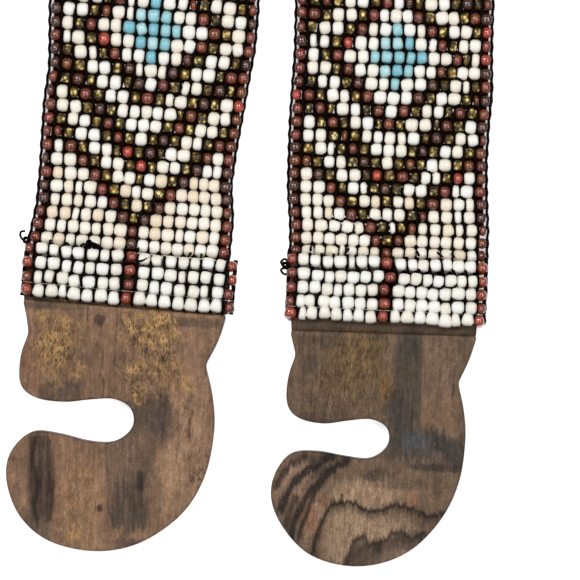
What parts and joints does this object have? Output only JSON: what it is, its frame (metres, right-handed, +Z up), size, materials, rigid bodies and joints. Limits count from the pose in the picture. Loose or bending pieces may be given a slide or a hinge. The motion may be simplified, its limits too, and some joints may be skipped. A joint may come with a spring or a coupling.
{
  "type": "beaded belt",
  "caption": "Hand-loomed seed-bead belt in a concentric diamond pattern with a flat carved wooden hook at each end; its ends lie flat and the rest stands in a loop.",
  "frame": {"origin": "middle of the belt's box, on the surface that it lies on", "axes": "+Y runs from the hooks to the loop, +X to the right with the hooks towards the viewer, +Z up"},
  "size_m": [0.111, 0.387, 0.0468],
  "materials": {
    "ivory_beads": "opaque glossy ivory glass",
    "red_brown_beads": "glossy red-brown glass",
    "bright_red_beads": "glossy orange-red glass",
    "gold_beads": "silver-lined amber glass",
    "turquoise_beads": "opaque glossy turquoise glass",
    "warp_thread": "waxed black thread",
    "nylon_thread": "clear nylon",
    "flecked_wood": "oiled, ochre flecks",
    "ringed_wood": "oiled, dark growth rings"
  },
  "bodies": {
    "root": {"beaded_band": "ivory_beads", "flap_left": "ivory_beads", "flap_right": "ivory_beads", "hook_left": "flecked_wood", "hook_right": "ringed_wood"}
  },
  "joints": []
}
